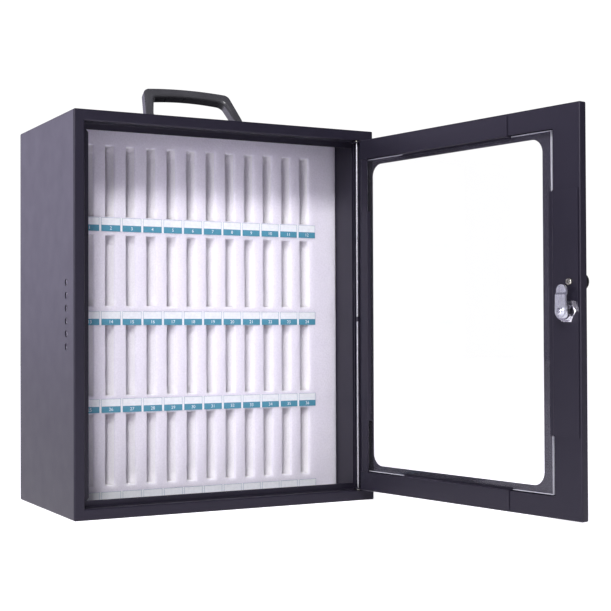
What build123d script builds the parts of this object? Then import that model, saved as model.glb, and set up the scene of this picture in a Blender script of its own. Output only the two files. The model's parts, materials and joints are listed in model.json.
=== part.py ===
"""Desk-top phone locker: a folded steel box with a glazed door and slotted foam.

Millimetres, +Z up.  The origin is the middle of the base footprint, and the
doorway faces -Y.  The door stands open on its hinge at the right.
"""

from build123d import *
from math import cos, radians, sin, sqrt, tan
import os

os.makedirs("parts", exist_ok=True)

# ---------------------------------------------------------------- cabinet
width = 390.0
depth = 210.0
height = 460.0
sheet = 1.2
outer_bend = 1.8            # outside radius of every fold in the sheet
corner_radius = 2.5         # welded and dressed corners of the wrap
face_width = 13.0           # frame round the doorway, seen from the front
rebate_depth = 17.5         # from the front face back to the door stop
stop_width = 7.0
lock_stop_width = 10.0      # the stop is wider where the cam bites
back_flange = 12.0
vent_count = 6
vent_diameter = 8.0
vent_pitch = 14.5
vent_setback = 28.0

# ---------------------------------------------------------------- foam
foam_gap = 0.3
foam_headroom = 2.4         # room under the roof for the rivet tails
foam_setback = 90.0         # foam front behind the cabinet front
backing_thickness = 13.0
rows = 4
slots_per_row = 12
slot_width = 12.0
slot_pitch = 26.6
rows_margin = 30.0          # of the cabinet's height, not shared among the rows
label_band = 22.5           # between the slots of two rows, for the labels

# ---------------------------------------------------------------- labels
label_thickness = 0.3
label_height = 16.5
label_pitch = 26.85
label_margin = 2.65         # between one printed cell and the next
label_inset = 5.5           # strip start, left of the first slot's edge
label_drops = (1.3, 6.4, 3.9, 7.5)      # below each row's slots, stuck on by hand

# ---------------------------------------------------------------- door
door_angle = 100.0          # how far the door stands open
hinge_inset = 21.0          # rod axis in from the cabinet side
hinge_setback = 3.3         # rod axis behind the front face
door_gap = 1.2
door_thickness = 10.0
pan_bend = 1.5
ear_turn = 90.0             # the ears are rounded about the rod through this angle
flange_lock = 36.0
flange_top = 24.0
flange_bottom = 23.0
window_lock = 57.4          # door edge to window edge
window_hinge = 32.6
window_ends = 31.0
window_radius = 15.0
stile_start = 19.6          # hinge edge of the door to the stile web
stile_flange = 11.8
stile_foot = 4.0
pane_thickness = 3.0
pane_clearance = 0.4
pane_lock = 43.0            # door edge to pane edge
pane_hinge = 24.0
retainer_sheet = 0.8
retainer_inset = 2.6
stile_inset = 1.0           # stile web to the edge of its retainer
retainer_clearance = 0.2
retainer_tight_bend = 0.2
retainer_foot_bend = 1.0
retainer_lap = 3.0          # how far a retainer foot laps the pane
side_retainer_length = 257.0
side_retainer_start = 100.0
end_retainer_length = 171.0
end_retainer_start = 99.0   # from the free edge

# ---------------------------------------------------------------- hinge
rod_diameter = 3.0
rod_clearance = 0.05
ear_clearance = 0.06        # the door turns freely on the rod
rod_overrun = 3.0
washer_diameter = 6.0
washer_play = 0.2
saddle_height = 225.0
saddle_length = 6.0
saddle_sheet = 0.5
saddle_foot = 3.4
saddle_clearance = 0.1

# ---------------------------------------------------------------- lock
lock_inset = 16.5           # lock axis in from the free edge
lock_height = 230.0
barrel_diameter = 18.0
barrel_flats = 14.6         # clears the edge of the door stop
barrel_rise = 10.4          # barrel end above the door's inner face
bezel_diameter = 22.0
bezel_thickness = 2.5
bezel_chamfer = 0.8
hole_clearance = 0.15
nut_flats = 21.6
nut_thickness = 3.2
nut_chamfer = 60.0
plug_diameter = 12.0
plug_clearance = 0.06
plug_head_diameter = 14.0
plug_head_thickness = 1.7
plug_recess = 0.3
keyway_width = 1.6
keyway_height = 8.0
keyway_depth = 16.0
wafer_length = 4.0
wafer_height = 5.4
wafer_inset = 0.6           # window in the barrel, back from its end
tail_flats = 7.0
cam_thickness = 2.5
cam_root_radius = 7.0
cam_tip_radius = 6.5
cam_reach = 27.7
cam_crank = 1.5
cam_crank_start = 16.5
cam_crank_run = 2.0
cam_play = 0.2
cam_washer_diameter = 10.0
cam_washer_thickness = 0.8
screw_diameter = 3.5
screw_depth = 8.0
screw_head_diameter = 7.2
screw_head_height = 2.2
recess_width = 0.9
recess_length = 4.4
recess_depth = 1.2

# ---------------------------------------------------------------- knob
knob_inset = 14.2
knob_rise = 30.8            # above the lock
knob_diameter = 18.0
knob_neck = 9.4
knob_base = 12.0
knob_reach = 12.0
knob_waist = 3.6            # thinnest part of the neck, out from the door
knob_flare = 6.6
knob_rim = 8.2
knob_shoulder = 9.6
knob_screw_diameter = 4.0
knob_screw_head = 7.5
knob_screw_head_height = 2.4
knob_screw_grip = 7.0       # thread length inside the knob

# ---------------------------------------------------------------- handle
handle_lean = 37.0          # leaning back against its bracket
handle_width = 132.0        # over the legs at the pivots
handle_straight = 14.0      # the legs stand square this far above the pivots
handle_top_width = 117.0
handle_rise = 57.0          # pivot to outer top corner, along the legs
handle_crown = 3.8
handle_leg = 10.8
handle_grip = 13.0
handle_thickness = 15.0     # at the grip
handle_flare = 30.0         # the legs reach that thickness this far above the pivots
handle_flare_bend = 20.0
handle_corner = 9.0
handle_inner_corner = 8.0
handle_edge = 4.0
eye_radius = 5.5            # foot of each leg, round the pin
pivot_rise = 7.0            # pivot above the roof
pin_diameter = 4.0
pin_clearance = 0.05
bracket_rise = 14.0
bracket_cheek = 3.0
bracket_end_wall = 2.4
bracket_play = 0.3
foot_length = 10.0
foot_thickness = 3.0
rivet_diameter = 4.0
rivet_head_diameter = 7.4
rivet_head_height = 1.8
rivet_head_round = 1.4
rivet_tail_diameter = 6.4
rivet_tail_height = 1.6

# ---------------------------------------------------------------- derived
front = -depth / 2
inner_half = width / 2 - sheet
inner_bend = outer_bend - sheet
box_middle = Vector(0, 0, height / 2)
hinge_x = width / 2 - hinge_inset
hinge_y = front + hinge_setback
swing = radians(door_angle)
along = Vector(-cos(swing), -sin(swing), 0)         # hinge to free edge
inward = Vector(-sin(swing), cos(swing), 0)         # door's outer face to inner
up = Vector(0, 0, 1)
hinge_foot = Vector(hinge_x, hinge_y, 0)

door_outer = -hinge_setback                         # levels along "inward"
skin_inner = door_outer + sheet
door_inner = door_outer + door_thickness
flange_under = door_inner - sheet
pane_top = skin_inner + pane_thickness
door_reach = hinge_x + width / 2 - face_width - door_gap
hinge_edge = -door_inner                            # the ears are round about the rod
door_bottom = face_width + door_gap
door_top = height - face_width - door_gap
opening_bottom = door_bottom + flange_bottom
opening_top = door_top - flange_top
lock_at = door_reach - lock_inset
knob_at = door_reach - knob_inset
knob_height = lock_height + knob_rise

lean = radians(handle_lean)
bracket_x = handle_width / 2 - handle_leg / 2
bracket_width = handle_leg + 2 * bracket_play + 2 * bracket_cheek
bracket_slot = (
    (bracket_rise - pivot_rise) * tan(lean) + eye_radius / cos(lean) + bracket_play
)
bracket_half = bracket_slot + bracket_end_wall
rivet_y = bracket_half + foot_length / 2


def door_level(level):
    """Plane parallel to the door: x from hinge to free edge, y up."""
    return Plane(origin=hinge_foot + inward * level, x_dir=along, z_dir=inward)


def door_section(z):
    """Level cut through the door: x from hinge to free edge, y inward; extrudes down."""
    return Plane(origin=hinge_foot + up * z, x_dir=along, z_dir=-up)


# ================================================================ cabinet wrap
def wrap_panel(outward, half_span, half_length, stop):
    """One mitred panel of the wrap, on the side of the box that faces "outward"."""
    section = Plane(origin=box_middle, x_dir=outward, z_dir=outward.cross(Vector(0, 1, 0)))
    front_view = Plane(origin=box_middle, x_dir=outward, z_dir=(0, -1, 0))
    doorway = half_span - face_width
    with BuildPart() as panel:
        with BuildSketch(section):
            with BuildLine():
                FilletPolyline(
                    (half_span, depth / 2),
                    (half_span, front),
                    (doorway, front),
                    (doorway, front + rebate_depth),
                    (doorway - stop, front + rebate_depth),
                    radius=[outer_bend, outer_bend, inner_bend],
                )
                offset(amount=sheet, side=Side.RIGHT)
            make_face()
        extrude(amount=half_length, both=True)
        with BuildSketch(front_view):
            RectangleRounded(2 * half_span, 2 * half_length, corner_radius)
            with BuildLine():
                Polyline(
                    (half_span, half_length),
                    (half_span, -half_length),
                    (half_span - half_length, 0),
                    close=True,
                )
            make_face(mode=Mode.INTERSECT)
        extrude(amount=depth, both=True, mode=Mode.INTERSECT)
    return panel



def side_panel(outward):
    """Side panel: a wrap panel with its column of vent holes behind the frame."""
    side = wrap_panel(outward, width / 2, height / 2, lock_stop_width if outward.X < 0 else stop_width)
    with BuildPart() as panel:
        add(side.part)
        with BuildSketch(Plane(origin=outward * (width / 2), x_dir=(0, 1, 0), z_dir=outward)):
            with Locations((front + vent_setback, height / 2 * outward.X)):
                with GridLocations(0, vent_pitch, 1, vent_count):
                    Circle(vent_diameter / 2)
        extrude(amount=-2 * sheet, mode=Mode.SUBTRACT)
    return panel


left_side = side_panel(Vector(-1, 0, 0))
left_side.part.label = "left_side"
export_step(left_side.part, "parts/left_side.step")

right_side = side_panel(Vector(1, 0, 0))
right_side.part.label = "right_side"
export_step(right_side.part, "parts/right_side.step")

roof = wrap_panel(Vector(0, 0, 1), height / 2, width / 2, stop_width)
floor_panel = wrap_panel(Vector(0, 0, -1), height / 2, width / 2, stop_width)

with BuildPart() as top_panel:
    add(roof.part)
    with BuildSketch(Plane.XY.offset(height - face_width)):         # rod hole in the top rail
        with Locations((hinge_x, hinge_y)):
            Circle(rod_diameter / 2 + rod_clearance)
    extrude(amount=sheet, mode=Mode.SUBTRACT)
    with BuildSketch(Plane.XY.offset(height)):                      # rivet holes for the handle
        with GridLocations(2 * bracket_x, 2 * rivet_y, 2, 2):
            Circle(rivet_diameter / 2)
    extrude(amount=-sheet, mode=Mode.SUBTRACT)
top_panel.part.label = "top_panel"
export_step(top_panel.part, "parts/top_panel.step")

with BuildPart() as bottom_panel:
    add(floor_panel.part)
    with BuildSketch(Plane.XY.offset(face_width)):                  # rod hole in the bottom rail
        with Locations((hinge_x, hinge_y)):
            Circle(rod_diameter / 2 + rod_clearance)
    extrude(amount=-sheet, mode=Mode.SUBTRACT)
bottom_panel.part.label = "bottom_panel"
export_step(bottom_panel.part, "parts/bottom_panel.step")

with BuildPart() as back_panel:                                     # tray, flanges forward
    with BuildSketch(Plane(origin=(0, depth / 2, height / 2), x_dir=(1, 0, 0), z_dir=(0, -1, 0))):
        Rectangle(2 * inner_half, height - 2 * sheet)
    extrude(amount=back_flange)
    mouth = back_panel.faces().sort_by(Axis.Y)[0]
    offset(amount=-sheet, openings=mouth)
back_panel.part.label = "back_panel"
export_step(back_panel.part, "parts/back_panel.step")

# ================================================================ foam and labels
foam_front = front + foam_setback
backing_back = depth / 2 - sheet - foam_gap
backing_front = backing_back - backing_thickness
foam_half = inner_half - foam_gap
foam_top = height - sheet - foam_headroom
row_pitch = (height - rows_margin) / rows
slot_height = row_pitch - label_band
top_row = height / 2 + (rows - 1) / 2 * row_pitch
first_slot = -(slots_per_row - 1) / 2 * slot_pitch - slot_width / 2

for row in range(rows):
    row_middle = top_row - row * row_pitch
    row_top = foam_top if row == 0 else row_middle + row_pitch / 2
    row_bottom = sheet if row == rows - 1 else row_middle - row_pitch / 2
    foam_face = Plane(origin=(0, foam_front, row_middle), x_dir=(1, 0, 0), z_dir=(0, -1, 0))

    with BuildPart() as foam_row:
        with BuildSketch(foam_face):
            with Locations((0, (row_top + row_bottom) / 2 - row_middle)):
                Rectangle(2 * foam_half, row_top - row_bottom)
            with GridLocations(slot_pitch, row_pitch, slots_per_row, 1):
                Rectangle(slot_width, slot_height, mode=Mode.SUBTRACT)
        extrude(amount=foam_front - backing_front)
    foam_row.part.label = f"foam_row_{row + 1}"
    export_step(foam_row.part, f"parts/foam_row_{row + 1}.step")

    label_length = slots_per_row * label_pitch - label_margin
    label_top = row_middle - slot_height / 2 - label_drops[row]
    with BuildPart() as label_strip:
        with BuildSketch(foam_face):
            with Locations((first_slot - label_inset + label_length / 2,
                            label_top - label_height / 2 - row_middle)):
                Rectangle(label_length, label_height)
        extrude(amount=label_thickness)
    label_strip.part.label = f"label_strip_{row + 1}"
    export_step(label_strip.part, f"parts/label_strip_{row + 1}.step")

with BuildPart() as foam_backing:
    with BuildSketch(Plane(origin=(0, backing_back, 0), x_dir=(1, 0, 0), z_dir=(0, -1, 0))):
        with Locations((0, (2 * sheet + foam_gap + foam_top) / 2)):
            Rectangle(2 * (foam_half - sheet), foam_top - 2 * sheet - foam_gap)
    extrude(amount=backing_thickness)
foam_backing.part.label = "foam_backing"
export_step(foam_backing.part, "parts/foam_backing.step")

# ================================================================ hinge
rod_bottom = face_width - sheet - rod_overrun
rod_top = height - face_width + sheet + rod_overrun
with BuildPart() as hinge_rod:
    with BuildSketch(Plane(origin=(hinge_x, hinge_y, rod_bottom))):
        Circle(rod_diameter / 2)
    extrude(amount=rod_top - rod_bottom)
    chamfer(hinge_rod.edges().filter_by(GeomType.CIRCLE), rod_diameter / 8)
hinge_rod.part.label = "hinge_rod"
export_step(hinge_rod.part, "parts/hinge_rod.step")

washer_thickness = door_gap - washer_play
with BuildPart() as hinge_washers:
    for washer_bottom in (face_width + washer_play / 2, door_top + washer_play / 2):
        with BuildSketch(Plane(origin=(hinge_x, hinge_y, washer_bottom))):
            Circle(washer_diameter / 2)
            Circle(rod_diameter / 2 + rod_clearance, mode=Mode.SUBTRACT)
        extrude(amount=washer_thickness)
hinge_washers.part.label = "hinge_washers"
export_step(hinge_washers.part, "parts/hinge_washers.step")

saddle_inner = rod_diameter / 2 + saddle_clearance
saddle_outer = saddle_inner + saddle_sheet
with BuildPart() as hinge_saddle:                                   # strap over the rod
    with BuildSketch(door_section(saddle_height + saddle_length / 2)):
        Circle(saddle_outer)
        with Locations((0, skin_inner / 2)):
            Rectangle(2 * saddle_outer, -skin_inner)
        with Locations((0, skin_inner + saddle_sheet / 2)):
            Rectangle(2 * (saddle_inner + saddle_foot), saddle_sheet)
        Circle(saddle_inner, mode=Mode.SUBTRACT)
        with Locations((0, skin_inner / 2)):
            Rectangle(2 * saddle_inner, -skin_inner, mode=Mode.SUBTRACT)
    extrude(amount=saddle_length)
hinge_saddle.part.label = "hinge_saddle"
export_step(hinge_saddle.part, "parts/hinge_saddle.step")

# ================================================================ door
door_middle = (door_bottom + door_top) / 2
window_left = hinge_edge + window_hinge
window_right = door_reach - window_lock
stile_web = hinge_edge + stile_start


def span_rectangle(x0, x1, y0, y1, mode=Mode.ADD):
    """Rectangle in the current sketch between two corners."""
    with Locations(((x0 + x1) / 2, (y0 + y1) / 2)):
        return Rectangle(x1 - x0, y1 - y0, mode=mode)


def barrel_profile(clearance, mode=Mode.ADD):
    """Round barrel with two flats, in a sketch on a door level."""
    with BuildSketch(mode=Mode.PRIVATE) as profile:
        Circle(barrel_diameter / 2 + clearance)
        Rectangle(barrel_flats + 2 * clearance, barrel_diameter * 2, mode=Mode.INTERSECT)
    with Locations((lock_at, lock_height)):
        return add(profile.sketch, mode=mode)


with BuildPart() as door_skin:
    with BuildSketch(door_section(door_top)):                       # outside of the folded pan
        with BuildLine():
            Polyline((hinge_edge, 0), (hinge_edge, door_outer), (door_reach, door_outer),
                     (door_reach, door_inner), (0, door_inner))
            JernArc(start=(0, door_inner), tangent=(-1, 0), radius=door_inner, arc_size=ear_turn)
        make_face()
    extrude(amount=door_top - door_bottom)
    free_edges = door_skin.edges().filter_by(
        lambda edge: (edge.center() - hinge_foot).dot(along) > stile_web
    )
    fillet(free_edges, pan_bend)
    with BuildSketch(door_level(skin_inner)):                       # hollow behind the skin
        span_rectangle(hinge_edge + sheet, door_reach - sheet, door_bottom + sheet, door_top - sheet)
    extrude(amount=flange_under - skin_inner, mode=Mode.SUBTRACT)
    with BuildSketch(door_level(0)):                                # open strip at the hinge
        span_rectangle(2 * hinge_edge, stile_web, door_bottom + sheet, door_top - sheet)
    extrude(amount=door_thickness, mode=Mode.SUBTRACT)
    with BuildSketch(door_level(flange_under)):                     # between the flanges
        span_rectangle(0, door_reach - flange_lock, opening_bottom, opening_top)
    extrude(amount=sheet, mode=Mode.SUBTRACT)
    with BuildSketch(door_level(door_outer)):                       # window
        with Locations(((window_left + window_right) / 2, door_middle)):
            RectangleRounded(window_right - window_left,
                             door_top - door_bottom - 2 * window_ends, window_radius)
    extrude(amount=sheet, mode=Mode.SUBTRACT)
    with BuildSketch(door_level(door_outer)):                       # lock and knob screw holes
        barrel_profile(hole_clearance)
        with Locations((knob_at, knob_height)):
            Circle(knob_screw_diameter / 2 + hole_clearance)
    extrude(amount=door_thickness, mode=Mode.SUBTRACT)
    with BuildSketch(door_section(door_top)):                       # rod holes in both ears
        Circle(rod_diameter / 2 + ear_clearance)
    extrude(amount=door_top - door_bottom, mode=Mode.SUBTRACT)
door_skin.part.label = "door_skin"
export_step(door_skin.part, "parts/door_skin.step")

with BuildPart() as hinge_stile:                                    # channel beside the pane
    with BuildSketch(door_section(door_top - sheet)):
        with BuildLine():
            FilletPolyline(
                (stile_web + stile_foot, skin_inner),
                (stile_web, skin_inner),
                (stile_web, flange_under),
                (stile_web + stile_flange, flange_under),
                radius=outer_bend,
            )
            offset(amount=sheet, side=Side.RIGHT)
        make_face()
    extrude(amount=door_top - door_bottom - 2 * sheet)
hinge_stile.part.label = "hinge_stile"
export_step(hinge_stile.part, "parts/hinge_stile.step")

with BuildPart() as window_pane:
    with BuildSketch(door_level(skin_inner)):
        span_rectangle(hinge_edge + pane_hinge, door_reach - pane_lock,
                       opening_bottom + pane_clearance, opening_top - pane_clearance)
    extrude(amount=pane_thickness)
    chamfer(window_pane.edges(), pane_clearance / 2)
window_pane.part.label = "window_pane"
export_step(window_pane.part, "parts/window_pane.step")


# ================================================================ pane retainers
def retainer(section, length, start, flange, flange_level, foot):
    """Joggled strip: x runs in from the door edge and y inward; it clamps the pane.

    Without a foot the strip ends on edge, on the pane.
    """
    drop = flange + retainer_clearance
    points = [(start, flange_level), (drop, flange_level), (drop, pane_top)]
    radii = [retainer_tight_bend]
    if foot:
        points.append((drop + foot, pane_top))
        radii.append(retainer_foot_bend)
    with BuildPart() as strip:
        with BuildSketch(section):
            with BuildLine():
                FilletPolyline(*points, radius=radii)
                offset(amount=retainer_sheet, side=Side.LEFT)
            make_face()
        extrude(amount=length)
    return strip


lock_side_edge = Plane(
    origin=hinge_foot + along * door_reach + up * side_retainer_start, x_dir=-along, z_dir=up
)
hinge_side_edge = Plane(
    origin=hinge_foot + along * hinge_edge + up * (side_retainer_start + side_retainer_length),
    x_dir=along,
    z_dir=-up,
)
end_retainer_end = door_reach - end_retainer_start
top_edge = Plane(origin=hinge_foot + along * end_retainer_end + up * door_top,
                 x_dir=-up, z_dir=-along)
bottom_edge = Plane(
    origin=hinge_foot + along * (end_retainer_end - end_retainer_length) + up * door_bottom,
    x_dir=up,
    z_dir=along,
)
end_foot = pane_clearance - retainer_clearance + retainer_lap

lock_strip = retainer(lock_side_edge, side_retainer_length, retainer_inset, flange_lock, door_inner,
                      pane_lock - flange_lock - retainer_clearance + retainer_lap)
with BuildPart() as retainer_lock_side:
    add(lock_strip.part)
    with BuildSketch(door_level(door_inner)):
        barrel_profile(hole_clearance)
        with Locations((knob_at, knob_height)):
            Circle(knob_screw_diameter / 2 + hole_clearance)
    extrude(amount=retainer_sheet, mode=Mode.SUBTRACT)
retainer_lock_side.part.label = "retainer_lock_side"
export_step(retainer_lock_side.part, "parts/retainer_lock_side.step")

retainer_hinge_side = retainer(hinge_side_edge, side_retainer_length, stile_start + stile_inset,
                               stile_start + stile_flange, flange_under, 0)
retainer_hinge_side.part.label = "retainer_hinge_side"
export_step(retainer_hinge_side.part, "parts/retainer_hinge_side.step")

retainer_top = retainer(top_edge, end_retainer_length, retainer_inset, flange_top, door_inner, end_foot)
retainer_top.part.label = "retainer_top"
export_step(retainer_top.part, "parts/retainer_top.step")

retainer_bottom = retainer(bottom_edge, end_retainer_length, retainer_inset, flange_bottom,
                           door_inner, end_foot)
retainer_bottom.part.label = "retainer_bottom"
export_step(retainer_bottom.part, "parts/retainer_bottom.step")

# ================================================================ lock
lock_centre = Location((lock_at, lock_height))
retainer_face = door_inner + retainer_sheet
barrel_end = door_inner + barrel_rise
bezel_face = door_outer - bezel_thickness
plug_face = bezel_face + plug_recess
plug_shoulder = plug_face + plug_head_thickness
cam_seat = barrel_end + cam_play

with BuildPart() as lock_barrel:
    with BuildSketch(door_level(bezel_face)):
        with Locations(lock_centre):
            Circle(bezel_diameter / 2)
    extrude(amount=bezel_thickness)
    chamfer(lock_barrel.edges().group_by(SortBy.DISTANCE)[0], bezel_chamfer)
    with BuildSketch(door_level(door_outer)):
        barrel_profile(0)
    extrude(amount=barrel_end - door_outer)
    with BuildSketch(door_level(bezel_face)):                       # bore for the plug
        with Locations(lock_centre):
            Circle(plug_diameter / 2 + plug_clearance)
    extrude(amount=barrel_end - bezel_face, mode=Mode.SUBTRACT)
    with BuildSketch(door_level(bezel_face)):                       # seat for the plug head
        with Locations(lock_centre):
            Circle(plug_head_diameter / 2 + plug_clearance)
    extrude(amount=plug_shoulder + plug_clearance - bezel_face, mode=Mode.SUBTRACT)
    with BuildSketch(door_level(barrel_end - wafer_inset - wafer_length)):
        with Locations((lock_at + barrel_flats / 2, lock_height)):  # wafer window in the flat
            Rectangle(barrel_flats / 2, wafer_height)
    extrude(amount=wafer_length, mode=Mode.SUBTRACT)
lock_barrel.part.label = "lock_barrel"
export_step(lock_barrel.part, "parts/lock_barrel.step")

with BuildPart() as lock_nut:
    with BuildSketch(door_level(retainer_face)):
        with Locations(lock_centre):
            RegularPolygon(nut_flats / 2, 6, major_radius=False)
    extrude(amount=nut_thickness)
    with BuildSketch(door_level(retainer_face)):                    # turned corners
        with Locations(lock_centre):
            Circle(nut_flats / 2 + nut_thickness * tan(radians(nut_chamfer)))
    extrude(amount=nut_thickness, taper=nut_chamfer, mode=Mode.INTERSECT)
    with BuildSketch(door_level(retainer_face)):
        with Locations(lock_centre):
            Circle(barrel_diameter / 2 + hole_clearance)
    extrude(amount=nut_thickness, mode=Mode.SUBTRACT)
lock_nut.part.label = "lock_nut"
export_step(lock_nut.part, "parts/lock_nut.step")

with BuildPart() as lock_plug:
    with BuildSketch(door_level(plug_face)):
        with Locations(lock_centre):
            Circle(plug_head_diameter / 2)
    extrude(amount=plug_head_thickness)
    with BuildSketch(door_level(plug_face)):
        with Locations(lock_centre):
            Circle(plug_diameter / 2)
    extrude(amount=cam_seat - plug_face)
    with BuildSketch(door_level(cam_seat)):
        with Locations(lock_centre):
            Rectangle(tail_flats, tail_flats)
    extrude(amount=cam_thickness)
    with BuildSketch(door_level(plug_face)):                        # keyway
        with Locations(lock_centre):
            Rectangle(keyway_width, keyway_height)
    extrude(amount=keyway_depth, mode=Mode.SUBTRACT)
    with BuildSketch(door_level(cam_seat + cam_thickness)):         # thread for the cam screw
        with Locations(lock_centre):
            Circle(screw_diameter / 2 + pin_clearance)
    extrude(amount=-screw_depth - cam_thickness, mode=Mode.SUBTRACT)
lock_plug.part.label = "lock_plug"
export_step(lock_plug.part, "parts/lock_plug.step")

with BuildPart() as lock_cam:                                       # cranked arm, standing up
    with BuildSketch(Plane(origin=hinge_foot + along * (lock_at - nut_flats) + up * lock_height,
                           x_dir=up, z_dir=along)):
        with BuildLine():
            Polyline(
                (-cam_root_radius, cam_seat),
                (cam_crank_start, cam_seat),
                (cam_crank_start + cam_crank_run, cam_seat - cam_crank),
                (cam_reach, cam_seat - cam_crank),
            )
            offset(amount=cam_thickness, side=Side.LEFT, kind=Kind.INTERSECTION)
        make_face()
    extrude(amount=2 * nut_flats)
    with BuildSketch(door_level(cam_seat - 2 * cam_crank)):
        with BuildLine():
            CenterArc((lock_at, lock_height), cam_root_radius, 0, 360)
            CenterArc((lock_at, lock_height + cam_reach - cam_tip_radius), cam_tip_radius, 0, 360)
        make_hull()
        with Locations(lock_centre):
            Rectangle(tail_flats + 2 * pin_clearance, tail_flats + 2 * pin_clearance,
                      mode=Mode.SUBTRACT)
    extrude(amount=cam_thickness + 4 * cam_crank, mode=Mode.INTERSECT)
lock_cam.part.label = "lock_cam"
export_step(lock_cam.part, "parts/lock_cam.step")

washer_level = cam_seat + cam_thickness
with BuildPart() as cam_washer:
    with BuildSketch(door_level(washer_level)):
        with Locations(lock_centre):
            Circle(cam_washer_diameter / 2)
            Circle(screw_diameter / 2 + pin_clearance, mode=Mode.SUBTRACT)
    extrude(amount=cam_washer_thickness)
cam_washer.part.label = "cam_washer"
export_step(cam_washer.part, "parts/cam_washer.step")


def cross_head_screw(level, centre, shank, grip, head, head_height):
    """Pan head above "level", shank below it, and a cross recess in the head."""
    with BuildPart() as screw:
        with BuildSketch(door_level(level)):
            with Locations(centre):
                Circle(head / 2)
        extrude(amount=head_height)
        fillet(screw.edges().filter_by(GeomType.CIRCLE).sort_by(Axis(hinge_foot, inward))[-1],
               head_height / 2)
        with BuildSketch(door_level(level)):
            with Locations(centre):
                Circle(shank / 2)
        extrude(amount=-grip)
        with BuildSketch(door_level(level + head_height)):
            with Locations(centre):
                Rectangle(recess_length, recess_width)
                Rectangle(recess_width, recess_length)
        extrude(amount=-recess_depth, mode=Mode.SUBTRACT)
    return screw


cam_screw = cross_head_screw(washer_level + cam_washer_thickness, lock_centre, screw_diameter,
                             screw_depth, screw_head_diameter, screw_head_height)
cam_screw.part.label = "cam_screw"
export_step(cam_screw.part, "parts/cam_screw.step")

# ================================================================ knob
knob_centre = Location((knob_at, knob_height))
knob_foot = hinge_foot + along * knob_at + inward * door_outer + up * knob_height
knob_bore = knob_screw_diameter / 2 + pin_clearance
dome_rise = knob_reach - knob_shoulder
dome_radius = ((knob_diameter / 2) ** 2 + dome_rise**2) / (2 * dome_rise)
dome_middle_x = knob_diameter / 4
dome_middle_y = knob_reach - dome_radius + sqrt(dome_radius**2 - dome_middle_x**2)
with BuildPart() as door_knob:
    with BuildSketch(Plane(origin=knob_foot, x_dir=along, z_dir=up)):
        with BuildLine():
            Polyline((0, knob_reach), (0, 0), (knob_base / 2, 0))
            neck = ThreePointArc((knob_base / 2, 0), (knob_neck / 2, knob_waist),
                                 (knob_base / 2, knob_flare))
            Polyline(neck @ 1, (knob_diameter / 2, knob_rim), (knob_diameter / 2, knob_shoulder))
            ThreePointArc((knob_diameter / 2, knob_shoulder), (dome_middle_x, dome_middle_y),
                          (0, knob_reach))
        make_face()
    revolve(axis=Axis(knob_foot, inward))
    with BuildSketch(door_level(door_outer)):
        with Locations(knob_centre):
            Circle(knob_bore)
    extrude(amount=-knob_screw_grip, mode=Mode.SUBTRACT)
door_knob.part.label = "door_knob"
export_step(door_knob.part, "parts/door_knob.step")

knob_screw = cross_head_screw(retainer_face, knob_centre, knob_screw_diameter,
                              retainer_face - door_outer + knob_screw_grip - 1,
                              knob_screw_head, knob_screw_head_height)
knob_screw.part.label = "knob_screw"
export_step(knob_screw.part, "parts/knob_screw.step")

# ================================================================ carry handle
pivot_z = height + pivot_rise
bail_plane = Plane(origin=(0, 0, pivot_z), x_dir=(1, 0, 0), z_dir=(0, -cos(lean), sin(lean)))
bail_side = Plane(origin=bail_plane.origin, x_dir=bail_plane.z_dir, z_dir=(-1, 0, 0))
bail_foot = handle_width / 2
bail_top = handle_top_width / 2
grip_under = handle_rise - handle_grip

with BuildPart() as carry_handle:
    with BuildSketch(bail_plane):
        with BuildLine():
            ThreePointArc((-bail_top, handle_rise), (0, handle_rise + handle_crown),
                          (bail_top, handle_rise))
            Polyline((bail_top, handle_rise), (bail_foot, handle_straight), (bail_foot, 0),
                     (bail_foot - handle_leg, 0), (bail_foot - handle_leg, handle_straight),
                     (bail_top - handle_leg, grip_under))
            ThreePointArc((bail_top - handle_leg, grip_under), (0, grip_under + handle_crown),
                          (handle_leg - bail_top, grip_under))
            Polyline((handle_leg - bail_top, grip_under), (handle_leg - bail_foot, handle_straight),
                     (handle_leg - bail_foot, 0), (-bail_foot, 0), (-bail_foot, handle_straight),
                     (-bail_top, handle_rise))
        bail = make_face()
        fillet(bail.vertices().filter_by(lambda v: abs(v.Y - handle_rise) < 1), handle_corner)
        fillet(vertices().filter_by(lambda v: abs(v.Y - grip_under) < 1), handle_inner_corner)
    extrude(amount=handle_thickness / 2, both=True)
    outline = carry_handle.edges().filter_by(
        lambda edge: abs(bail_plane.to_local_coords(edge.center()).Z) > handle_thickness / 4
        and bail_plane.to_local_coords(edge.center()).Y > eye_radius
    )
    fillet(outline, handle_edge)
    with BuildSketch(bail_side):                                    # legs thin towards the pivots
        with BuildLine():
            back = FilletPolyline((-eye_radius, -eye_radius), (-eye_radius, handle_straight),
                                  (-handle_thickness / 2, handle_flare),
                                  (-handle_thickness / 2, 2 * handle_rise),
                                  radius=handle_flare_bend)
            mirror(back, about=Plane.YZ)
            Line((-eye_radius, -eye_radius), (eye_radius, -eye_radius))
            Line((-handle_thickness / 2, 2 * handle_rise), (handle_thickness / 2, 2 * handle_rise))
        make_face()
    extrude(amount=handle_width, both=True, mode=Mode.INTERSECT)
    for eye_x in (bail_foot - handle_leg, -bail_foot):
        with BuildSketch(Plane.YZ.offset(eye_x)):
            with Locations((0, pivot_z)):
                Circle(eye_radius)
        extrude(amount=handle_leg)
    with BuildSketch(Plane.YZ.offset(-bail_foot)):                  # bores for the pins
        with Locations((0, pivot_z)):
            Circle(pin_diameter / 2 + pin_clearance)
    extrude(amount=handle_width, mode=Mode.SUBTRACT)
carry_handle.part.label = "carry_handle"
export_step(carry_handle.part, "parts/carry_handle.step")

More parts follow.
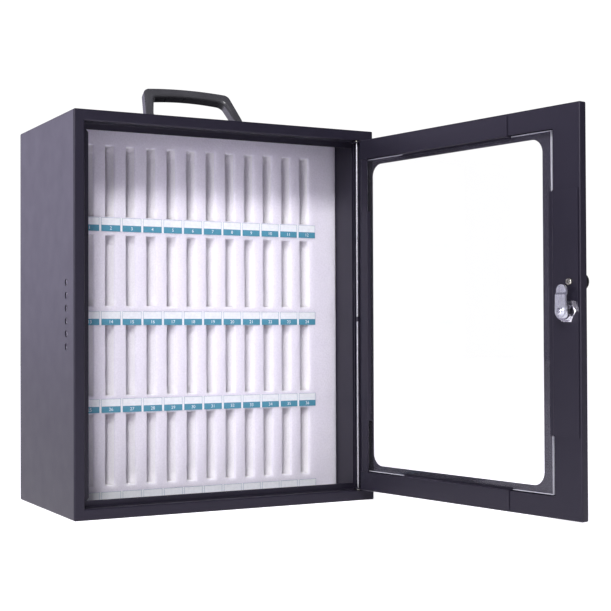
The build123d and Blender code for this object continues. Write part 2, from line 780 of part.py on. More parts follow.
for side, middle in (("left", -bracket_x), ("right", bracket_x)):
    roof_here = Plane(origin=(middle, 0, height))
    with BuildPart() as handle_bracket:
        with BuildSketch(roof_here):
            Rectangle(bracket_width, 2 * bracket_half)
        extrude(amount=bracket_rise)
        fillet(handle_bracket.edges().filter_by(Axis.Z), bracket_cheek / 2)
        fillet(handle_bracket.faces().sort_by(Axis.Z)[-1].edges(), bracket_cheek / 3)
        with BuildSketch(roof_here):                                # feet for the rivets
            RectangleRounded(bracket_width, 2 * (bracket_half + foot_length), bracket_cheek)
        extrude(amount=foot_thickness)
        with BuildSketch(roof_here):                                # well that stops the leg
            Rectangle(handle_leg + 2 * bracket_play, 2 * bracket_slot)
            with GridLocations(0, 2 * rivet_y, 1, 2):
                Circle(rivet_diameter / 2)
        extrude(amount=bracket_rise, mode=Mode.SUBTRACT)
        with BuildSketch(Plane.YZ.offset(middle - bracket_width / 2)):
            with Locations((0, pivot_z)):
                Circle(pin_diameter / 2)
        extrude(amount=bracket_width, mode=Mode.SUBTRACT)
    handle_bracket.part.label = f"handle_bracket_{side}"
    export_step(handle_bracket.part, f"parts/handle_bracket_{side}.step")

with BuildPart() as handle_pins:
    for middle in (-bracket_x, bracket_x):
        with BuildSketch(Plane.YZ.offset(middle - bracket_width / 2)):
            with Locations((0, pivot_z)):
                Circle(pin_diameter / 2)
        extrude(amount=bracket_width)
handle_pins.part.label = "handle_pins"
export_step(handle_pins.part, "parts/handle_pins.step")

with BuildPart() as handle_rivets:
    rivet_spots = GridLocations(2 * bracket_x, 2 * rivet_y, 2, 2)
    with BuildSketch(Plane.XY.offset(height + foot_thickness)):
        with rivet_spots:
            Circle(rivet_head_diameter / 2)
    extrude(amount=rivet_head_height)
    fillet(handle_rivets.edges().group_by(Axis.Z)[-1], rivet_head_round)
    with BuildSketch(Plane.XY.offset(height - sheet - rivet_tail_height)):
        with rivet_spots:
            Circle(rivet_tail_diameter / 2)
    extrude(amount=rivet_tail_height)
    with BuildSketch(Plane.XY.offset(height - sheet)):
        with rivet_spots:
            Circle(rivet_diameter / 2)
    extrude(amount=sheet + foot_thickness)
handle_rivets.part.label = "handle_rivets"
export_step(handle_rivets.part, "parts/handle_rivets.step")
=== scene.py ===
import json
import math

import bmesh
import bpy
from mathutils import Matrix, Vector, noise


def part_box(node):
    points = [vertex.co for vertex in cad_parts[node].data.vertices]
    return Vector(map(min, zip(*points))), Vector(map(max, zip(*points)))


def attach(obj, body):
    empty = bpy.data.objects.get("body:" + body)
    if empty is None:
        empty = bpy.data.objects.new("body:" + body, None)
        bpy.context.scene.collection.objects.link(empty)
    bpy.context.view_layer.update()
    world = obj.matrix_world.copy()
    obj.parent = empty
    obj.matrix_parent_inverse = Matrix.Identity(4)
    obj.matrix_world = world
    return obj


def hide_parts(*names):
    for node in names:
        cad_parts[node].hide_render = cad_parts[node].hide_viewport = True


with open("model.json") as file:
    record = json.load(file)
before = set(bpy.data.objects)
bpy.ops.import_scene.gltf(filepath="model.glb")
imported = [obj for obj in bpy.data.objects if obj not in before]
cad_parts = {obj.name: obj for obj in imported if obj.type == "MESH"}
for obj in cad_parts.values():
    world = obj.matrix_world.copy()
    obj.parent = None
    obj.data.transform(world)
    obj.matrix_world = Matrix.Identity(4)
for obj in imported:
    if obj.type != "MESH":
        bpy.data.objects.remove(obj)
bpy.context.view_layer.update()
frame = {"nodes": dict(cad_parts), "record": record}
print("frame loaded,", len(frame["nodes"]), "nodes")

# the camera stands level with a point just below the middle of the box
shot = {
    "place": (-0.648094, -1.466964, 0.212088),
    "yaw": 0.478361547,        # turned from +Y towards +X
    "pitch": 0.0150005541,
    "roll": -0.00333833607,
    "focal": 1276.754,         # this, middle and side are in pixels of the square frame
    "middle": (276.250, 310.578),
    "side": 611,
    "sensor": 36,
}


def placeCamera(shot):
    ahead = Vector((math.sin(shot["yaw"]) * math.cos(shot["pitch"]),
                    math.cos(shot["yaw"]) * math.cos(shot["pitch"]),
                    math.sin(shot["pitch"])))
    level = Vector((math.cos(shot["yaw"]), -math.sin(shot["yaw"]), 0))
    rise = level.cross(ahead)
    right = math.cos(shot["roll"]) * level + math.sin(shot["roll"]) * rise
    top = right.cross(ahead)
    data = bpy.data.cameras.new("camera")
    data.sensor_width = shot["sensor"]
    data.lens = shot["focal"] / shot["side"] * shot["sensor"]
    data.shift_x = 0.5 - shot["middle"][0] / shot["side"]
    data.shift_y = shot["middle"][1] / shot["side"] - 0.5
    camera = bpy.data.objects.new("camera", data)
    turn = Matrix((right, top, -ahead)).transposed().to_4x4()
    camera.matrix_world = Matrix.Translation(shot["place"]) @ turn
    bpy.context.collection.objects.link(camera)
    bpy.context.scene.camera = camera


placeCamera(shot)
print("camera placed")

# wiring for shaders and the world
mixSockets = {"FLOAT": (2, 3, 0), "RGBA": (6, 7, 2)}     # both inputs and the output of a Mix node
mostNoise = (0.3, 0.7)                                    # most of a noise lies in this band


def feed(tree, socket, value):
    # takes another node's output, a number, a vector, or a colour without its alpha
    if isinstance(value, bpy.types.NodeSocket):
        tree.links.new(value, socket)
    else:
        socket.default_value = (*value, 1) if socket.type == "RGBA" else value


def reckoned(tree, operation, *values):
    node = tree.nodes.new("ShaderNodeMath")
    node.operation = operation
    for socket, value in zip(node.inputs, values):
        feed(tree, socket, value)
    return node.outputs[0]


def ranged(tree, value, ends):
    # ends are the value's low and high, then what those two become
    node = tree.nodes.new("ShaderNodeMapRange")
    feed(tree, node.inputs["Value"], value)
    for name, end in zip(("From Min", "From Max", "To Min", "To Max"), ends):
        node.inputs[name].default_value = end
    return node.outputs["Result"]


def mixed(tree, kind, factor, first, second):
    node = tree.nodes.new("ShaderNodeMix")
    node.data_type = kind
    firstSocket, secondSocket, result = mixSockets[kind]
    feed(tree, node.inputs["Factor"], factor)
    feed(tree, node.inputs[firstSocket], first)
    feed(tree, node.inputs[secondSocket], second)
    return node.outputs[result]


class Finish:
    # a material with its shader at hand and short calls for the nodes used below
    def __init__(self, name):
        self.material = bpy.data.materials.new(name)
        self.material.use_nodes = True
        self.tree = self.material.node_tree
        self.shader = self.tree.nodes["Principled BSDF"]
        self.place = self.tree.nodes.new("ShaderNodeTexCoord").outputs["Object"]

    def put(self, **values):
        for name, value in values.items():
            feed(self.tree, self.shader.inputs[name.replace("_", " ")], value)

    def stretched(self, scale):
        node = self.tree.nodes.new("ShaderNodeMapping")
        node.inputs["Scale"].default_value = scale
        self.tree.links.new(self.place, node.inputs["Vector"])
        return node.outputs[0]

    def grain(self, scale, detail, rough=0.5, along=None):
        node = self.tree.nodes.new("ShaderNodeTexNoise")
        node.inputs["Scale"].default_value = scale
        node.inputs["Detail"].default_value = detail
        node.inputs["Roughness"].default_value = rough
        self.tree.links.new(along or self.place, node.inputs["Vector"])
        return node.outputs["Fac"]

    def cells(self, scale):
        node = self.tree.nodes.new("ShaderNodeTexVoronoi")
        node.inputs["Scale"].default_value = scale
        self.tree.links.new(self.place, node.inputs["Vector"])
        return node.outputs["Distance"]

    def varied(self, height, low, high, band=mostNoise):
        return ranged(self.tree, height, (*band, low, high))

    def mottled(self, height, first, second, band=mostNoise):
        return mixed(self.tree, "RGBA", self.varied(height, 0, 1, band), first, second)

    def bump(self, *layers):
        # each layer is a height, how strong it is and how far it moves the surface
        under = None
        for height, strength, distance in layers:
            node = self.tree.nodes.new("ShaderNodeBump")
            node.inputs["Strength"].default_value = strength
            node.inputs["Distance"].default_value = distance
            self.tree.links.new(height, node.inputs["Height"])
            if under:
                self.tree.links.new(under, node.inputs["Normal"])
            under = node.outputs[0]
        self.put(Normal=under)


# a white studio
studio = {
    "fill": 0.29,                      # light from the white room on matt surfaces
    "fillTint": (0.93, 0.90, 1.0),
    "paper": 1.05,                     # white background, seen straight or through the pane
    "room": (0.35, 0.88, 0.20, 0.92),  # what gloss sees, from beside the box to behind it
    "roomTint": (0.78, 0.73, 1.0),
    "overhead": 0.6,                   # how fast the room dims upwards
    "floor": 6.0,
    "floorTint": (0.89, 0.87, 0.94),
    "floorRough": 0.9,
    "floorLift": (0.85, 0.35),         # lift of the floor to white, seen straight and in gloss
}
lamps = {
    "keyLamp": {"from": (-1.1, -1.8, 1.8), "to": (0, 0, 0.2), "size": 0.5, "watts": 48,
                "tint": (1, 0.99, 1)},
    "leftLamp": {"from": (-1.9, -1.35, 0.8), "to": (0, 0, 0.2), "size": 1.1, "watts": 19,
                 "tint": (0.96, 0.94, 1)},
    "sideLamp": {"from": (-1.6, 1.9, 0.9), "to": (-0.2, 0, 0.25), "size": 1.6, "watts": 14,
                 "tint": (0.85, 0.8, 1)},
}


def areaLamp(name, lamp):
    data = bpy.data.lights.new(name, "AREA")
    data.size = lamp["size"]
    data.energy = lamp["watts"]
    data.color = lamp["tint"]
    light = bpy.data.objects.new(name, data)
    aim = (Vector(lamp["to"]) - Vector(lamp["from"])).to_track_quat("-Z", "Y")
    light.matrix_world = Matrix.Translation(lamp["from"]) @ aim.to_matrix().to_4x4()
    bpy.context.collection.objects.link(light)


def seenRay(tree):
    path = tree.nodes.new("ShaderNodeLightPath").outputs
    straight = reckoned(tree, "MAXIMUM", path["Is Camera Ray"], path["Is Glossy Ray"])
    return reckoned(tree, "MAXIMUM", straight, path["Is Transmission Ray"])


def whiteRoom(studio):
    # gloss sees white paper behind the box and a dimmer room in front of it
    world = bpy.data.worlds.new("whiteRoom")
    bpy.context.scene.world = world
    world.use_nodes = True
    tree = world.node_tree
    fill = tree.nodes["Background"]
    feed(tree, fill.inputs["Color"], studio["fillTint"])
    feed(tree, fill.inputs["Strength"], studio["fill"])
    way = tree.nodes.new("ShaderNodeSeparateXYZ")
    feed(tree, way.inputs[0], tree.nodes.new("ShaderNodeTexCoord").outputs["Generated"])
    behind = reckoned(tree, "MULTIPLY_ADD", way.outputs["Z"], -studio["overhead"], way.outputs["Y"])
    room = ranged(tree, behind, studio["room"])
    glossy = tree.nodes.new("ShaderNodeLightPath").outputs["Is Glossy Ray"]
    seen = tree.nodes.new("ShaderNodeBackground")
    feed(tree, seen.inputs["Color"], mixed(tree, "RGBA", glossy, (1, 1, 1), studio["roomTint"]))
    feed(tree, seen.inputs["Strength"], mixed(tree, "FLOAT", glossy, studio["paper"], room))
    both = tree.nodes.new("ShaderNodeMixShader")
    for socket, output in zip(both.inputs, (seenRay(tree), fill.outputs[0], seen.outputs[0])):
        feed(tree, socket, output)
    feed(tree, tree.nodes["World Output"].inputs["Surface"], both.outputs[0])


def layFloor(studio):
    mesh = bpy.data.meshes.new("floor")
    bm = bmesh.new()
    bmesh.ops.create_grid(bm, x_segments=1, y_segments=1, size=studio["floor"])
    bm.to_mesh(mesh)
    bm.free()
    paper = Finish("floorPaper")
    straight, mirrored = studio["floorLift"]
    path = paper.tree.nodes.new("ShaderNodeLightPath").outputs
    gloss = reckoned(paper.tree, "MULTIPLY", path["Is Glossy Ray"], mirrored)
    lift = reckoned(paper.tree, "MULTIPLY_ADD", path["Is Camera Ray"], straight, gloss)
    paper.put(Base_Color=studio["floorTint"], Roughness=studio["floorRough"], Specular_IOR_Level=0,
              Emission_Color=(1, 1, 1), Emission_Strength=lift)
    mesh.materials.append(paper.material)
    floor = bpy.data.objects.new("floor", mesh)
    bpy.context.collection.objects.link(floor)


for lampName, lamp in lamps.items():
    areaLamp(lampName, lamp)
whiteRoom(studio)
layFloor(studio)
bpy.context.scene.view_settings.view_transform = "Standard"
print("studio lit")

# satin powder coat: a slow drift of colour, fine orange peel and a long wave under it
powderLook = {
    "drift": (7, 3),                   # scale and detail
    "driftBand": (0.3, 0.75),
    "paler": (1.1, 0.0006),            # times, plus
    "haze": (40, 5),
    "hazeBand": (0.25, 0.75),
    "hazeReach": (0.025, 0.03),        # roughness goes this far down and up
    "sheen": (0.93, 0.88, 1.0),
    "peel": (1300, 1, 0.4),
    "peelLift": (0.35, 0.00008),       # strength and distance of the bump
    "wave": (220, 2),
    "waveLift": (0.2, 0.00006),
}


def powderCoat(name, colour, roughness, look=powderLook):
    coat = Finish(name)
    times, plus = look["paler"]
    pale = tuple(part * times + plus for part in colour)
    down, up = look["hazeReach"]
    coat.put(Base_Color=coat.mottled(coat.grain(*look["drift"]), colour, pale, look["driftBand"]),
             Roughness=coat.varied(coat.grain(*look["haze"]), roughness - down, roughness + up,
                                   look["hazeBand"]),
             Specular_Tint=look["sheen"])
    coat.bump((coat.grain(*look["peel"]), *look["peelLift"]),
              (coat.grain(*look["wave"]), *look["waveLift"]))
    return coat.material


# plated or drawn steel, brushed along one way where streak is given
steelLook = {
    "cloud": (160, 3),
    "cloudBand": (0.35, 0.7),
    "darker": 0.82,
    "brush": (1, 3, 0.6),
    "speckle": (900, 2),
    "lift": (0.25, 0.00002),
}


def platedSteel(name, colour, roughness, streak=None, haze=0.05, look=steelLook):
    metal = Finish(name)
    if streak:
        brush = metal.grain(*look["brush"], metal.stretched(streak))
    else:
        brush = metal.grain(*look["speckle"])
    shade = tuple(part * look["darker"] for part in colour)
    metal.put(Metallic=1.0,
              Base_Color=metal.mottled(metal.grain(*look["cloud"]), shade, colour, look["cloudBand"]),
              Roughness=metal.varied(brush, roughness - haze, roughness + haze))
    metal.bump((brush, *look["lift"]))
    return metal.material


# moulded plastic with a fine pebbled skin
plasticLook = {
    "cloud": (40, 2),
    "paler": 1.3,
    "haze": (120, 2),
    "hazeReach": (0.04, 0.05),
    "pebble": 0.3,                     # strength of the bump
    "swell": (0.4, 2),                 # share of the pebbles' scale, and detail
    "swellStrength": 0.2,
}


def mouldedPlastic(name, colour, roughness, pebbles, depth, look=plasticLook):
    plastic = Finish(name)
    pale = tuple(part * look["paler"] for part in colour)
    down, up = look["hazeReach"]
    share, detail = look["swell"]
    plastic.put(Base_Color=plastic.mottled(plastic.grain(*look["cloud"]), colour, pale),
                Roughness=plastic.varied(plastic.grain(*look["haze"]),
                                         roughness - down, roughness + up))
    plastic.bump((plastic.cells(pebbles), look["pebble"], depth),
                 (plastic.grain(pebbles * share, detail), look["swellStrength"], depth))
    return plastic.material


# a thin, slightly hazy mirror, there only as far as the front of a clear sheet reflects
sheetLook = {
    "tint": (0.92, 0.91, 1.0),
    "mirror": 0.75,
    "bend": 1.49,                      # refractive index of acrylic
    "fullAt": 0.7,                     # the reflection at which nothing shows through
    "film": (14, 4),
    "filmBand": (0.45, 0.8),
    "filmRough": (0.03, 0.08),
    "wave": (30, 2),
    "waveLift": (0.05, 0.0002),
}


def clearSheet(name, look=sheetLook):
    sheet = Finish(name)
    gloss = sheet.tree.nodes.new("ShaderNodeFresnel")
    gloss.inputs["IOR"].default_value = look["bend"]
    inside = sheet.tree.nodes.new("ShaderNodeNewGeometry").outputs["Backfacing"]
    outside = sheet.varied(inside, 1, 0, (0, 1))
    shown = reckoned(sheet.tree, "MULTIPLY", gloss.outputs[0], outside)
    sheet.put(Base_Color=look["tint"], Metallic=look["mirror"],
              Alpha=sheet.varied(shown, 0, 1, (0, look["fullAt"])),
              Roughness=sheet.varied(sheet.grain(*look["film"]), *look["filmRough"], look["filmBand"]))
    sheet.bump((sheet.grain(*look["wave"]), *look["waveLift"]))
    return sheet.material


edgeLook = {
    "dull": (0.66, 0.66, 0.74),
    "bright": (0.88, 0.88, 0.95),
    "streak": (1500, 1500, 60),
    "saw": (1, 3, 0.6),
    "rough": (0.4, 0.6),
    "through": 0.2,
    "lift": (0.3, 0.00008),
}


def sawnEdge(name, look=edgeLook):
    edge = Finish(name)
    saw = edge.grain(*look["saw"], edge.stretched(look["streak"]))
    edge.put(Base_Color=edge.mottled(saw, look["dull"], look["bright"]),
             Roughness=edge.varied(saw, *look["rough"]),
             Transmission_Weight=look["through"], IOR=sheetLook["bend"])
    edge.bump((saw, *look["lift"]))
    return edge.material


# closed-cell foam, which passes light on below its skin
foamLook = {
    "patch": (26, 3),
    "grain": (520, 3, 0.6),
    "grainBand": (0.35, 0.62),
    "duller": 0.97,
    "pores": 0.95,
    "rough": 0.85,
    "gloss": 0.15,
    "fuzz": 0.1,
    "cells": 430,
    "cellLift": (0.35, 0.0005),
    "grainLift": (0.4, 0.0003),
}


def softFoam(name, colour, depth, glow, look=foamLook):
    foam = Finish(name)
    grain = foam.grain(*look["grain"])
    dull = tuple(part * look["duller"] for part in colour)
    pore = tuple(part * look["pores"] for part in dull)
    tone = foam.mottled(foam.grain(*look["patch"]), dull, colour)
    foam.put(Base_Color=foam.mottled(grain, pore, tone, look["grainBand"]), Roughness=look["rough"],
             Subsurface_Weight=glow, Subsurface_Scale=depth, Subsurface_Radius=(1, 1, 1),
             Specular_IOR_Level=look["gloss"], Sheen_Weight=look["fuzz"])
    foam.bump((foam.cells(look["cells"]), *look["cellLift"]), (grain, *look["grainLift"]))
    return foam.material


vinylLook = {
    "cloud": (300, 3),
    "paler": (1.08, 0.01),
    "rough": (0.35, 0.48),
    "haze": (90, 2),
    "tooth": (1500, 2),
    "toothLift": (0.15, 0.00002),
}


def printedVinyl(name, colour, look=vinylLook):
    vinyl = Finish(name)
    times, plus = look["paler"]
    pale = tuple(min(1, part * times + plus) for part in colour)
    vinyl.put(Base_Color=vinyl.mottled(vinyl.grain(*look["cloud"]), colour, pale),
              Roughness=vinyl.varied(vinyl.grain(*look["haze"]), *look["rough"]))
    vinyl.bump((vinyl.grain(*look["tooth"]), *look["toothLift"]))
    return vinyl.material


finishes = {
    "cabinetPaint": powderCoat("cabinetPaint", (0.0085, 0.0074, 0.0150), 0.42),
    "doorPaint": powderCoat("doorPaint", (0.0085, 0.0074, 0.0150), 0.42),
    "retainerPaint": powderCoat("retainerPaint", (0.0100, 0.0088, 0.0165), 0.38),
    "foam": softFoam("foamSkin", (0.905, 0.872, 1.0), 0.010, 0.8),
    # the cut faces are paler than the skin: painted light that lifts the shade inside the slots
    "foamCutPaintedLight": softFoam("foamCutPaintedLight", (0.965, 0.942, 1.0), 0.015, 1.0),
    "labelWhite": printedVinyl("labelWhite", (0.86, 0.88, 0.92)),
    "labelTeal": printedVinyl("labelTeal", (0.075, 0.285, 0.40)),
    "labelLine": printedVinyl("labelLine", (0.22, 0.32, 0.45)),
    "pane": clearSheet("clearAcrylic"),
    "paneEdge": sawnEdge("sawnAcrylic"),
    "lockPlate": platedSteel("lockPlate", (0.93, 0.93, 0.96), 0.12),
    # painted shade: black for the block in the lock's window
    "windowShade": mouldedPlastic("lockWindowPaintedShade", (0.01, 0.01, 0.012), 0.5, 900, 0.00003),
    "camPlate": platedSteel("camPlate", (0.93, 0.95, 1.0), 0.30, (1500, 1500, 60), 0.1),
    "camHead": platedSteel("camHead", (0.92, 0.93, 0.98), 0.2),
    "zinc": platedSteel("zincPlate", (0.62, 0.61, 0.52), 0.22),
    "rod": platedSteel("drawnRod", (0.60, 0.60, 0.62), 0.28, (2600, 2600, 30)),
    "knob": mouldedPlastic("knobPlastic", (0.012, 0.012, 0.014), 0.3, 700, 0.00002),
    "handle": mouldedPlastic("handlePlastic", (0.047, 0.047, 0.051), 0.30, 900, 0.00006),
}
worn = {
    "cabinetPaint": ["left_side", "right_side", "top_panel", "bottom_panel", "back_panel"],
    "doorPaint": ["door_skin", "hinge_stile", "hinge_saddle"],
    "retainerPaint": ["retainer_top", "retainer_bottom", "retainer_lock_side", "retainer_hinge_side"],
    "labelWhite": ["label_strip_1", "label_strip_2", "label_strip_3", "label_strip_4"],
    "pane": ["window_pane"],
    "lockPlate": ["lock_barrel", "lock_plug", "lock_nut"],
    "camPlate": ["lock_cam", "cam_washer"],
    "camHead": ["cam_screw"],
    "zinc": ["knob_screw", "hinge_washers", "handle_pins", "handle_rivets"],
    "rod": ["hinge_rod"],
    "knob": ["door_knob"],
    "handle": ["carry_handle", "handle_bracket_left", "handle_bracket_right"],
    "foam": ["foam_row_1", "foam_row_2", "foam_row_3", "foam_row_4", "foam_backing"],
}
for finish, nodes in worn.items():
    for node in nodes:
        mesh = frame["nodes"][node].data
        mesh.materials.clear()
        mesh.materials.append(finishes[finish])
print("finishes on")


def finishPiece(name, bm, worn, body, smooth=False):
    mesh = bpy.data.meshes.new(name)
    bm.to_mesh(mesh)
    bm.free()
    for polygon in mesh.polygons:
        polygon.use_smooth = smooth
    for finish in worn:
        mesh.materials.append(finishes[finish])
    piece = bpy.data.objects.new(name, mesh)
    bpy.context.collection.objects.link(piece)
    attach(piece, body)
    return piece


hair = 1e-6                            # nearer than this, in metres, counts as touching

# foam block, cut with one slot for each phone
foamBlock = {
    "rows": 4,
    "perRow": 12,
    "slot": (0.012, 0.085),
    "pitch": (0.0266, 0.1075),
    "first": (-0.1463, 0.39125),       # middle of slot 1
    "mouthRound": 0.0022,
    "mouthSteps": 4,
    "facing": 0.9,                     # a face of the front points forward at least this much
    "throat": (0.015, 0.30),           # this deep, a slot has closed to this share of its width
    "rim": 0.0012,                     # this near the outer edges and the back nothing wanders
    "cutInset": 0.004,                 # walls this far in from the block's sides are cut faces, in the paler finish that paints light into the slots
    "longEdge": 0.020,                 # longer edges are split, so that they can wander
    "splits": 5,
    "wander": 0.0005,
    "waves": 45,
    "seed": 7,                         # without one, the wander is another at every run
}


def slotMiddles(cut):
    columns = [cut["first"][0] + k * cut["pitch"][0] for k in range(cut["perRow"])]
    levels = [cut["first"][1] - k * cut["pitch"][1] for k in range(cut["rows"])]
    return columns, levels


def cutLine(bm, place, normal):
    everything = bm.verts[:] + bm.edges[:] + bm.faces[:]
    bmesh.ops.bisect_plane(bm, geom=everything, plane_co=place, plane_no=normal)


def pushed(bm, result, shift):
    fresh = [item for item in result["geom"] if isinstance(item, bmesh.types.BMVert)]
    bmesh.ops.translate(bm, verts=fresh, vec=shift)


def sunk(bm, faces, shift):
    pushed(bm, bmesh.ops.extrude_face_region(bm, geom=faces), shift)
    bmesh.ops.delete(bm, geom=faces, context="FACES_ONLY")


def foamFront(bm, cut, low, high):
    # the front face, with a line along each side of every slot
    bmesh.ops.create_grid(bm, x_segments=1, y_segments=1, size=0.5)
    place = Matrix.Translation(((low.x + high.x) / 2, low.y, (low.z + high.z) / 2))
    upright = Matrix.Rotation(math.pi / 2, 4, "X")
    stretch = Matrix.Diagonal((high.x - low.x, high.z - low.z, 1, 1))
    bmesh.ops.transform(bm, matrix=place @ upright @ stretch, verts=bm.verts)
    width, tall = cut["slot"]
    columns, levels = slotMiddles(cut)
    for column in columns:
        cutLine(bm, (column - width / 2, 0, 0), (1, 0, 0))
        cutLine(bm, (column + width / 2, 0, 0), (1, 0, 0))
    for level in levels:
        cutLine(bm, (0, 0, level - tall / 2), (0, 0, 1))
        cutLine(bm, (0, 0, level + tall / 2), (0, 0, 1))


def sinkSlots(bm, cut, low, high):
    # each slot narrows at first and then runs straight to the back of the block
    width, tall = cut["slot"]
    columns, levels = slotMiddles(cut)
    mouths = []
    for face in bm.faces:
        centre = face.calc_center_median()
        if (min(abs(centre.x - column) for column in columns) < width / 2
                and min(abs(centre.z - level) for level in levels) < tall / 2):
            mouths.append(face)
    deep, share = cut["throat"]
    sunk(bm, mouths, (0, deep, 0))
    throats = [face for face in bm.faces
               if all(abs(vert.co.y - low.y - deep) < hair for vert in face.verts)]
    for vert in {vert for face in throats for vert in face.verts}:
        column = min(columns, key=lambda middle: abs(vert.co.x - middle))
        vert.co.x = column + (vert.co.x - column) * share
    sunk(bm, throats, (0, high.y - low.y - deep, 0))


def closeBack(bm, rim, low, high):
    # the sides run back from the rim, and the backing stands out behind them
    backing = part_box("foam_backing")
    pushed(bm, bmesh.ops.extrude_edge_only(bm, edges=rim), (0, high.y - low.y, 0))
    openEdges = [edge for edge in bm.edges if edge.is_boundary]
    behind = bmesh.ops.contextual_create(bm, geom=openEdges)["faces"]
    bmesh.ops.inset_region(bm, faces=behind, thickness=backing[0][0] - low.x)
    sunk(bm, behind, (0, backing[1][1] - high.y, 0))
    bmesh.ops.recalc_face_normals(bm, faces=bm.faces)


def roundFront(bm, cut, low):
    # every edge where the flat front turns into a slot or a side
    turned = []
    for edge in bm.edges:
        onFront = all(abs(vert.co.y - low.y) < hair for vert in edge.verts)
        if onFront and sum(-face.normal.y > cut["facing"] for face in edge.link_faces) == 1:
            turned.append(edge)
    bmesh.ops.bevel(bm, geom=turned, offset=cut["mouthRound"], segments=cut["mouthSteps"],
                    profile=0.5, affect="EDGES", material=-1, clamp_overlap=True)


def loosen(bm, cut, low, high):
    # the knife's small wander, kept off the outer edges and the back
    longEdges = [edge for edge in bm.edges if edge.calc_length() > cut["longEdge"]]
    bmesh.ops.subdivide_edges(bm, edges=longEdges, cuts=cut["splits"], use_grid_fill=True)
    noise.seed_set(cut["seed"])
    for vert in bm.verts:
        spot = vert.co
        inside = min(spot.x - low.x, high.x - spot.x, spot.z - low.z, high.z - spot.z)
        if inside > cut["rim"] and spot.y < high.y - cut["rim"]:
            drift = noise.noise_vector(spot * cut["waves"]) * cut["wander"]
            vert.co += Vector((drift.x, abs(drift.y), drift.z))


# the faces marked here take the paler cut finish, painted light for the slots' shade
def markCutFaces(bm, cut, low, high):
    inset = cut["cutInset"]
    for face in bm.faces:
        centre = face.calc_center_median()
        face.material_index = int(low.y + cut["mouthRound"] < centre.y < high.y + cut["rim"]
                                  and low.x + inset < centre.x < high.x - inset
                                  and low.z + inset < centre.z < high.z - inset)


def foamInsert(cut):
    low, high = Vector(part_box("foam_row_4")[0]), Vector(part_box("foam_row_1")[1])
    bm = bmesh.new()
    foamFront(bm, cut, low, high)
    rim = [edge for edge in bm.edges if edge.is_boundary]
    sinkSlots(bm, cut, low, high)
    closeBack(bm, rim, low, high)
    roundFront(bm, cut, low)
    loosen(bm, cut, low, high)
    markCutFaces(bm, cut, low, high)
    piece = finishPiece("foamInsert", bm, ("foam", "foamCutPaintedLight"), "cabinet", smooth=True)
    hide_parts("foam_row_1", "foam_row_2", "foam_row_3", "foam_row_4", "foam_backing")


foamInsert(foamBlock)
print("foam cut")

# printing on the label strips
labelPrint = {
    "strips": ("label_strip_1", "label_strip_2", "label_strip_3", "label_strip_4"),
    "cells": 12,
    "pitch": 0.02685,
    "cell": 0.0242,
    "field": 0.0090,                   # white writing field over each number
    "line": 0.0003,
    "ink": 0.00008,
    "digit": 0.0056,
    "digitCurve": 3,                   # steps in each curved stroke
}


def inkBar(bm, left, right, bottom, top, face, ink):
    place = Matrix.Translation(((left + right) / 2, face - ink / 2, (bottom + top) / 2))
    size = Matrix.Diagonal((right - left, ink, top - bottom, 1))
    bmesh.ops.create_cube(bm, size=1, matrix=place @ size)


def inkNumber(bm, number, across, level, face, printing):
    words = bpy.data.curves.new("number", "FONT")
    words.body = str(number)
    words.size = printing["digit"]
    words.align_x = "CENTER"
    words.align_y = "CENTER"
    words.extrude = printing["ink"] / 2
    words.resolution_u = printing["digitCurve"]
    holder = bpy.data.objects.new("number", words)
    mesh = holder.to_mesh()
    place = Matrix.Translation((across, face - printing["ink"] / 2, level))
    mesh.transform(place @ Matrix.Rotation(math.pi / 2, 4, "X"))
    bm.from_mesh(mesh)
    holder.to_mesh_clear()
    bpy.data.objects.remove(holder)
    bpy.data.curves.remove(words)


def printLabels(printing):
    bars, lines, numbers = bmesh.new(), bmesh.new(), bmesh.new()
    ink, line = printing["ink"], printing["line"]
    for row, strip in enumerate(printing["strips"]):
        low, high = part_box(strip)
        face = low[1]
        split = high[2] - printing["field"]
        for cell in range(printing["cells"]):
            left = low[0] + cell * printing["pitch"]
            right = left + printing["cell"]
            inkBar(bars, left, right, low[2], split, face, ink)
            inkBar(lines, left, right, high[2] - line, high[2], face, ink)
            inkBar(lines, left, left + line, split, high[2] - line, face, ink)
            inkBar(lines, right - line, right, split, high[2] - line, face, ink)
            inkNumber(numbers, row * printing["cells"] + cell + 1,
                      (left + right) / 2, (low[2] + split) / 2, face - ink, printing)
    bmesh.ops.remove_doubles(numbers, verts=numbers.verts, dist=hair)
    finishPiece("labelBars", bars, ("labelTeal",), "cabinet")
    finishPiece("labelFieldLines", lines, ("labelLine",), "cabinet")
    finishPiece("labelNumbers", numbers, ("labelWhite",), "cabinet")


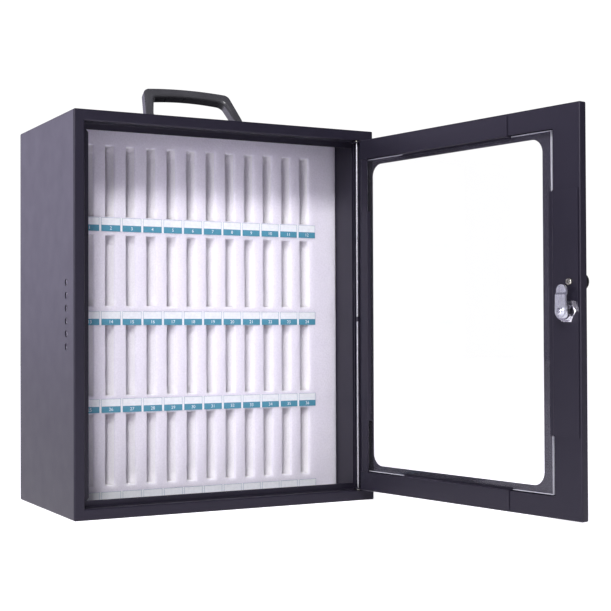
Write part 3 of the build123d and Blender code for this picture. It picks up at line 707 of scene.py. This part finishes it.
printLabels(labelPrint)
print("labels printed")

# clear pane with sawn edges
paneEdges = {
    "round": 0.0003,
    "steps": 2,
    "flat": 0.01,                      # triangles closer in angle than this lie in one face
}


def clearPane(edges):
    bm = bmesh.new()
    bm.from_mesh(frame["nodes"]["window_pane"].data)
    bmesh.ops.remove_doubles(bm, verts=bm.verts, dist=hair)
    bmesh.ops.dissolve_limit(bm, angle_limit=edges["flat"], verts=bm.verts, edges=bm.edges)
    wide = sorted(bm.faces, key=lambda face: face.calc_area())[-2:]
    border = [edge for edge in bm.edges if any(face in wide for face in edge.link_faces)]
    bmesh.ops.bevel(bm, geom=border, offset=edges["round"], segments=edges["steps"],
                    profile=0.5, affect="EDGES", material=-1)
    wide = sorted(bm.faces, key=lambda face: face.calc_area())[-2:]
    for face in bm.faces:
        face.material_index = 0 if face in wide else 1
    piece = finishPiece("clearPane", bm, ("pane", "paneEdge"), "door")
    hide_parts("window_pane")


clearPane(paneEdges)
print("pane set")

# lock: a thin black block set in its window, painted shade for the dark hole there
lockWindowShadeBlock = {
    "across": 0.0070,                  # towards the free edge of the door
    "inward": 0.0145,                  # towards the cabinet side
    "size": (0.0005, 0.0039, 0.0053),
    "edge": 0.0001,
}


def lockFrame():
    # across the door, then inward, then up, from the place of the lock's joint
    joints = frame["record"]["behaviour"]["joints"]
    turn = next(joint for joint in joints if joint["name"] == "lock_turn")
    outward = Vector(turn["axis"])
    axes = Matrix((outward.cross(Vector((0, 0, 1))), -outward, (0, 0, 1)))
    return Matrix.Translation(turn["pos_m"]) @ axes.transposed().to_4x4()


# a thin black block inside the lock's window, painted shade
def setWafer(windowShade):
    bm = bmesh.new()
    place = lockFrame() @ Matrix.Translation((windowShade["across"], windowShade["inward"], 0))
    bmesh.ops.create_cube(bm, size=1, matrix=place @ Matrix.Diagonal((*windowShade["size"], 1)))
    bmesh.ops.bevel(bm, geom=bm.edges[:], offset=windowShade["edge"], segments=1,
                    profile=0.5, affect="EDGES", material=-1)
    finishPiece("lockWindowShadeBlock", bm, ("windowShade",), "door")


setWafer(lockWindowShadeBlock)
print("lock dressed")
